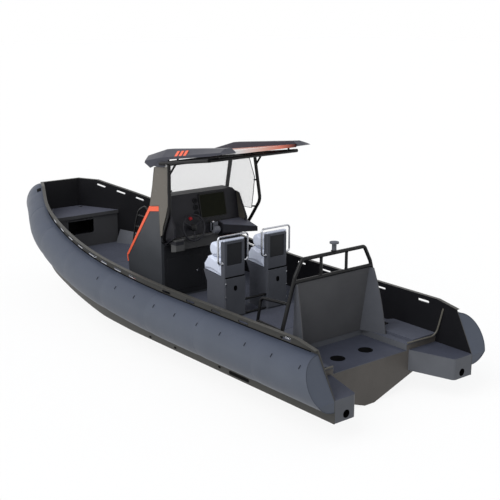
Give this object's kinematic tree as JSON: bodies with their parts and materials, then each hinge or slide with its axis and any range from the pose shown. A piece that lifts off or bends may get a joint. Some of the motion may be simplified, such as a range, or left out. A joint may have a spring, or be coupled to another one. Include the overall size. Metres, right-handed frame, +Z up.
{
  "type": "rigid inflatable boat",
  "caption": "Open rigid inflatable boat with blunt bow, D-section air collar, centre console, hard top, twin seats, splash shield and stern roll bar.",
  "frame": {"origin": "on the waterline at half length on the centreline", "axes": "+X towards the bow, +Y to port, +Z up"},
  "size_m": [8.8885, 3.1188, 3.0483],
  "materials": {
    "black_tube": "black powder coat",
    "collar_fabric": "coated fabric, matt grey",
    "console_paint": "satin grey paint",
    "cushion_vinyl": "pale vinyl",
    "dark_plate": "dark satin paint",
    "dash_plastic": "dark textured panel",
    "deck_grip": "non-skid deck covering",
    "display_glass": "dark display",
    "door_paint": "dark satin",
    "gauge_black": "black dial",
    "lever_grey": "grey lever",
    "orange_trim": "orange paint",
    "painted_hull": "satin grey paint",
    "pod_paint": "satin grey",
    "roof_gloss": "pale gloss panel",
    "roof_paint": "dark grey gloss",
    "screen_glass": "clear tinted",
    "stainless": "polished stainless steel",
    "step_paint": "satin grey paint",
    "wheel_rubber": "black grip"
  },
  "bodies": {
    "boat": {"bow_locker": "painted_hull", "bow_plate": "dark_plate", "bow_seat": "painted_hull", "collar_bow": "collar_fabric", "collar_port": "collar_fabric", "collar_starboard": "collar_fabric", "console_body": "console_paint", "console_handrail": "black_tube", "console_trim_port": "orange_trim", "console_trim_starboard": "orange_trim", "dash": "dash_plastic", "deck": "deck_grip", "engine_well": "step_paint", "foot_rail": "black_tube", "gauges": "gauge_black", "hull": "painted_hull", "roll_bar": "black_tube", "roof_fairing_port": "roof_paint", "roof_fairing_starboard": "roof_paint", "roof_leg_port": "black_tube", "roof_leg_starboard": "black_tube", "roof_panel": "roof_gloss", "roof_rails": "black_tube", "screen": "display_glass", "seat_cushion_port": "cushion_vinyl", "seat_cushion_starboard": "cushion_vinyl", "seat_pod_port": "pod_paint", "seat_pod_starboard": "pod_paint", "seat_rail_port": "stainless", "seat_rail_starboard": "stainless", "side_deck_port": "deck_grip", "side_deck_starboard": "deck_grip", "side_hoop_port": "black_tube", "side_hoop_starboard": "black_tube", "side_plate_port": "dark_plate", "side_plate_starboard": "dark_plate", "splash_shield": "console_paint", "stern_step_port": "step_paint", "stern_step_starboard": "step_paint", "throttle": "lever_grey", "tow_post": "step_paint", "windscreen_front": "screen_glass", "windscreen_posts": "black_tube", "windscreen_side_port": "screen_glass", "windscreen_side_starboard": "screen_glass"},
    "steering_wheel_body": {"steering_wheel": "wheel_rubber"},
    "seat_door_port_body": {"seat_door_port": "door_paint"},
    "seat_door_starboard_body": {"seat_door_starboard": "door_paint"}
  },
  "joints": [
    {"name": "steering_wheel_turn", "type": "hinge", "parent": "boat", "child": "steering_wheel_body", "pos_m": [-0.46418, 0.27, 1.42705], "axis": [-0.9773, 0, 0.2117], "range_deg": [-720, 720]},
    {"name": "seat_door_port_hinge", "type": "hinge", "parent": "boat", "child": "seat_door_port_body", "pos_m": [-1.59415, 0.555, 0.66], "axis": [0, 0, -1], "range_deg": [0, 110]},
    {"name": "seat_door_starboard_hinge", "type": "hinge", "parent": "boat", "child": "seat_door_starboard_body", "pos_m": [-1.59415, -0.555, 0.66], "axis": [0, 0, 1], "range_deg": [0, 110]}
  ]
}
